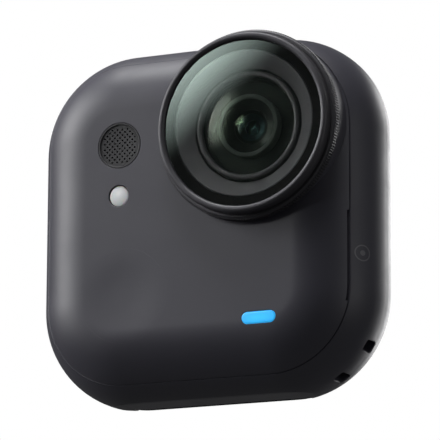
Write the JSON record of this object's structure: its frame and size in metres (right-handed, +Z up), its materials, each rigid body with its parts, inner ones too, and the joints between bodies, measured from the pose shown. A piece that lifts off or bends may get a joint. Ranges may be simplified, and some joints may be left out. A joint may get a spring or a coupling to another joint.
{
  "type": "action camera",
  "caption": "Square pocket action camera with rounded edges, a screw-on lens guard, a dished shutter key, a status light and a hinged base door; it holds to a clip by its flat back.",
  "frame": {"origin": "centre of the flat back face, which holds to a magnetic clip", "axes": "+Z up, -Y the way the lens looks, +X to the right seen from the lens side's viewer"},
  "size_m": [0.046, 0.018, 0.0454],
  "materials": {
    "cover_plastic": "fine satin grain",
    "shell_plastic": "fine satin grain",
    "back_plastic": "fine matte grain",
    "grille_plastic": "satin",
    "black_plastic": "matte",
    "pale_plastic": "satin",
    "black_rubber": "matte",
    "ring_metal": "black anodised satin",
    "bezel_metal": "grey anodised, fine turned",
    "black_metal": "black anodised",
    "magnet_metal": "nickel plated",
    "gold_contact": "gold plated",
    "shield_metal": "satin",
    "screw_steel": "satin",
    "copper_sheet": "satin copper",
    "guard_glass": "polished, coated",
    "lens_glass": "polished, coated",
    "lamp_diffuser": "milky diffuser",
    "status_light": "lit diffuser",
    "sensor_chip": "dark chip under glass",
    "circuit_board": "solder mask",
    "pale_membrane": "porous membrane",
    "battery_wrap": "film wrap"
  },
  "bodies": {
    "camera": {"front_cover": "cover_plastic", "rear_shell": "shell_plastic", "joint_gasket": "black_rubber", "back_plate": "back_plastic", "back_magnets": "magnet_metal", "contact_block": "black_plastic", "contact_pads": "gold_contact", "lens_mount": "black_metal", "mount_seal": "black_rubber", "lens_bezel": "bezel_metal", "lens_barrel": "black_plastic", "dome_ring": "ring_metal", "dome_lens": "lens_glass", "spacer_ring": "bezel_metal", "inner_cell": "black_plastic", "second_lens": "lens_glass", "aperture_disc": "black_metal", "rear_lens": "lens_glass", "lens_retainer": "black_metal", "infrared_filter": "lens_glass", "image_sensor": "sensor_chip", "sensor_board": "circuit_board", "sensor_connector": "black_plastic", "mic_grille": "grille_plastic", "mic_membrane": "pale_membrane", "microphone": "shield_metal", "lamp_window": "lamp_diffuser", "lamp_led": "lamp_diffuser", "front_board": "circuit_board", "status_window": "status_light", "status_led": "status_light", "status_board": "circuit_board", "shutter_switch": "shield_metal", "key_board": "circuit_board", "sounder": "black_plastic", "battery": "battery_wrap", "battery_plug": "pale_plastic", "main_board": "circuit_board", "shield_can": "shield_metal", "heat_spreader": "copper_sheet", "board_screws": "screw_steel", "usb_socket": "shield_metal", "card_socket": "shield_metal", "memory_card": "black_plastic", "door_pin": "screw_steel", "antenna": "pale_plastic"},
    "guard_slide": {"guard_seal": "black_rubber"},
    "guard": {"guard_ring": "ring_metal", "guard_glass": "guard_glass"},
    "shutter": {"shutter_key": "cover_plastic"},
    "door": {"port_door": "shell_plastic", "door_seal": "black_rubber"}
  },
  "joints": [
    {"name": "guard_lift", "type": "slide", "parent": "camera", "child": "guard_slide", "axis": [0, -1, 0], "range_m": [0, 0.0015]},
    {"name": "guard_turn", "type": "hinge", "parent": "guard_slide", "child": "guard", "pos_m": [0.00865, -0.015, 0.01006], "axis": [0, -1, 0], "range_deg": [0, 720]},
    {"name": "shutter_press", "type": "slide", "parent": "camera", "child": "shutter", "axis": [0, 1, 0], "range_m": [0, 0.0003], "stiffness_N_per_m": 6000},
    {"name": "door_swing", "type": "hinge", "parent": "camera", "child": "door", "pos_m": [0, -0.00425, -0.0217], "axis": [1, 0, 0], "range_deg": [0, 95]}
  ],
  "couplings": [
    {"joint": "guard_turn", "follows": "guard_lift", "rad_per_m": 8377.6}
  ]
}
